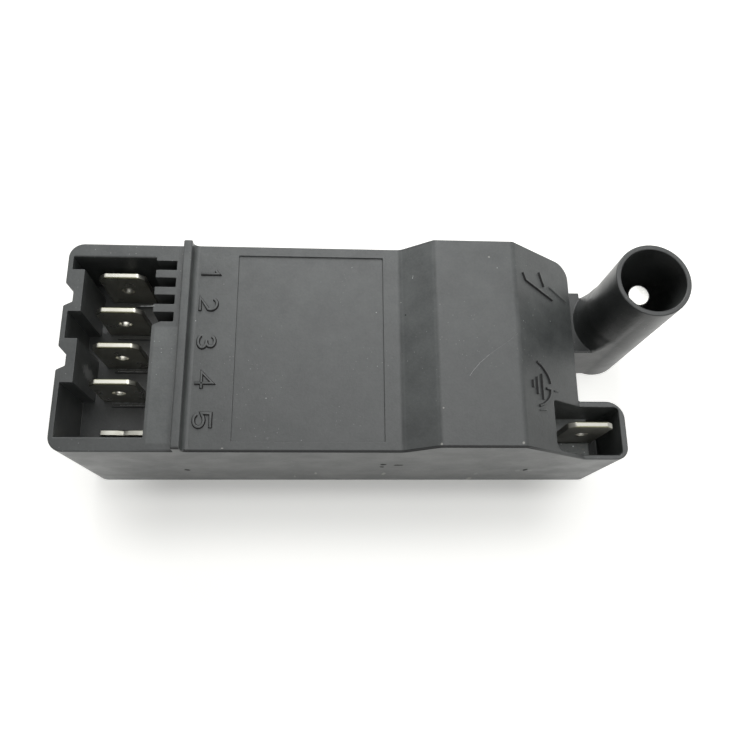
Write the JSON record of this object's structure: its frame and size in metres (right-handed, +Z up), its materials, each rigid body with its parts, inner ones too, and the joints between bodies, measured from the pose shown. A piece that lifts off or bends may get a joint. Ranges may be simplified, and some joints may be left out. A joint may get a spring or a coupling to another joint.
{
  "type": "spark generator",
  "caption": "Potted spark generator of a gas appliance: dark moulded case with tab socket, keyed and slotted, ramped hump, earth tab pocket and tall output tower with a pin.",
  "frame": {"origin": "middle of the bounding box at the base rim, where the case stands", "axes": "+X along the case from the tab socket to the output tower, +Z up, +Y towards the side that has the output tower"},
  "size_m": [0.0832, 0.0286, 0.0263],
  "materials": {
    "case_plastic": "fine matt moulded texture",
    "resin": "cast, smooth",
    "tab_metal": "tinned sheet",
    "pin_metal": "nickel plated, turned",
    "board": "satin",
    "solder": "bright",
    "ferrite": "ground",
    "bobbin_plastic": "satin",
    "copper": "enamelled wire",
    "capacitor_case": "smooth",
    "resistor_coat": "lacquered",
    "component_black": "moulded",
    "lead_sleeve": "silicone",
    "tinned_wire": "drawn"
  },
  "bodies": {
    "root": {"housing": "case_plastic", "potting_resin": "resin", "terminal_1": "tab_metal", "terminal_2": "tab_metal", "terminal_3": "tab_metal", "terminal_4": "tab_metal", "terminal_5": "tab_metal", "earth_terminal": "tab_metal", "hv_pin": "pin_metal", "circuit_board": "board", "solder_joints": "solder", "ferrite_core": "ferrite", "primary_bobbin": "bobbin_plastic", "primary_winding": "copper", "secondary_bobbin": "bobbin_plastic", "secondary_winding": "copper", "storage_capacitor": "capacitor_case", "charging_resistor": "resistor_coat", "bleed_resistor": "resistor_coat", "rectifier_diode": "component_black", "trigger_switch": "component_black", "hv_lead": "lead_sleeve", "earth_lead": "tinned_wire"}
  },
  "joints": []
}
